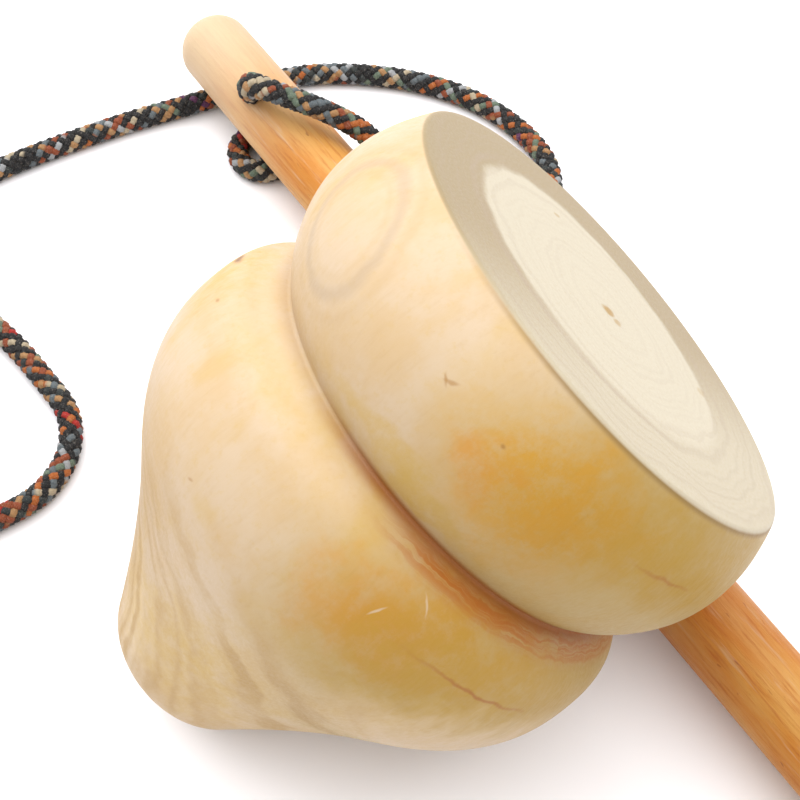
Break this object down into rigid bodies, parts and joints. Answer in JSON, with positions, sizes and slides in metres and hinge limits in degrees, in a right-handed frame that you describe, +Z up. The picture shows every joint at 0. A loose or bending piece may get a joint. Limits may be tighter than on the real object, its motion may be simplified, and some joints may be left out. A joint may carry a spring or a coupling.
{
  "type": "whipping top with whip",
  "caption": "Turned wooden whipping top with a flat-faced drum above a bellied cone, leaning on its whip: a round stick with a braided lash knotted through it.",
  "frame": {"origin": "on the floor, below the middle of the box around the top and the stick; the loose lash isn't counted", "axes": "+X along the whip stick towards its grip end, +Y the way the top's flat face leans, +Z up"},
  "size_m": [0.2808, 0.1442, 0.0653],
  "materials": {
    "top_wood": "pale sapwood turned on a lathe and left unvarnished, with golden stains, growth rings on the end grain and a satin hand polish",
    "stick_wood": "warm orange-tan dowel, smooth and dry, with fine long grain, paler at its rounded end",
    "braided_cord": "tight round braid of black, rust, grey, cream and grey-green synthetic yarns with a dull sheen",
    "twine": "thin twisted natural twine, matte and slightly hairy"
  },
  "bodies": {
    "whip": {"whip_stick": "stick_wood", "stopper_knot": "braided_cord", "whip_cord": "braided_cord", "cord_coil": "braided_cord", "coil_tie": "twine", "lash_tail": "braided_cord", "lash_end_knot": "braided_cord"},
    "top": {"top_body": "top_wood"}
  },
  "joints": [
    {"name": "top_spin", "type": "hinge", "parent": "whip", "child": "top", "pos_m": [-0.04832, 0.01803, 0.04569], "axis": [0.1626, 0.7583, 0.6314], "continuous": true}
  ]
}
